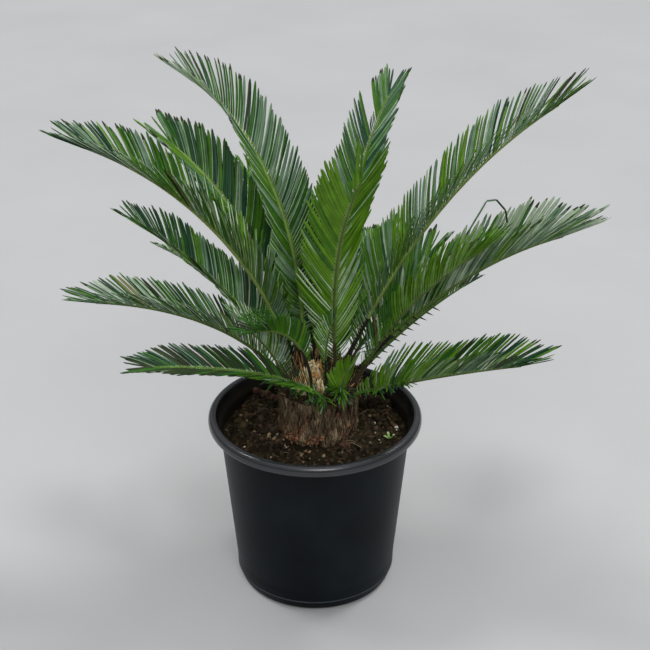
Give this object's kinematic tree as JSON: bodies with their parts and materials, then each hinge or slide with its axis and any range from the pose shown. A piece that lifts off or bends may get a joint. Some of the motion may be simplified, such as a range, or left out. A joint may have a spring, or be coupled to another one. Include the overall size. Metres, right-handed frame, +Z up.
{
  "type": "potted sago palm",
  "caption": "Young sago palm with a short fibrous trunk and an arching crown of feather-shaped fronds, growing in a round black nursery pot.",
  "frame": {"origin": "centre of the pot's flat underside, on the ground the pot stands on", "axes": "+Z up, +X to the right of the plant's front, -Y towards whoever looks at its front"},
  "size_m": [0.9526, 0.742, 0.9282],
  "materials": {
    "pot_plastic": "satin moulded",
    "soil": "rough damp",
    "bark": "rough fibrous",
    "wool": "woolly",
    "leaf": "waxy satin"
  },
  "bodies": {
    "root": {"pot": "pot_plastic", "soil": "soil", "trunk": "bark", "crown": "wool", "frond_front_tall": "leaf", "frond_left_tall": "leaf", "frond_right_long": "leaf", "frond_left_long": "leaf", "frond_back_tall": "leaf", "frond_right_mid": "leaf", "frond_left_upper": "leaf", "frond_left_mid": "leaf", "frond_left_low": "leaf", "frond_right_low": "leaf", "frond_left_lowest": "leaf", "frond_right_front": "leaf", "frond_front_left_small": "leaf", "frond_front_right_small": "leaf", "frond_left_inner": "leaf", "frond_front_young": "leaf", "frond_back_right_short": "leaf", "frond_right_back_short": "leaf", "frond_back_inner": "leaf", "frond_back_left": "leaf", "frond_back": "leaf", "frond_back_right_low": "leaf", "frond_back_left_low": "leaf", "frond_right_back_low": "leaf"}
  },
  "joints": []
}
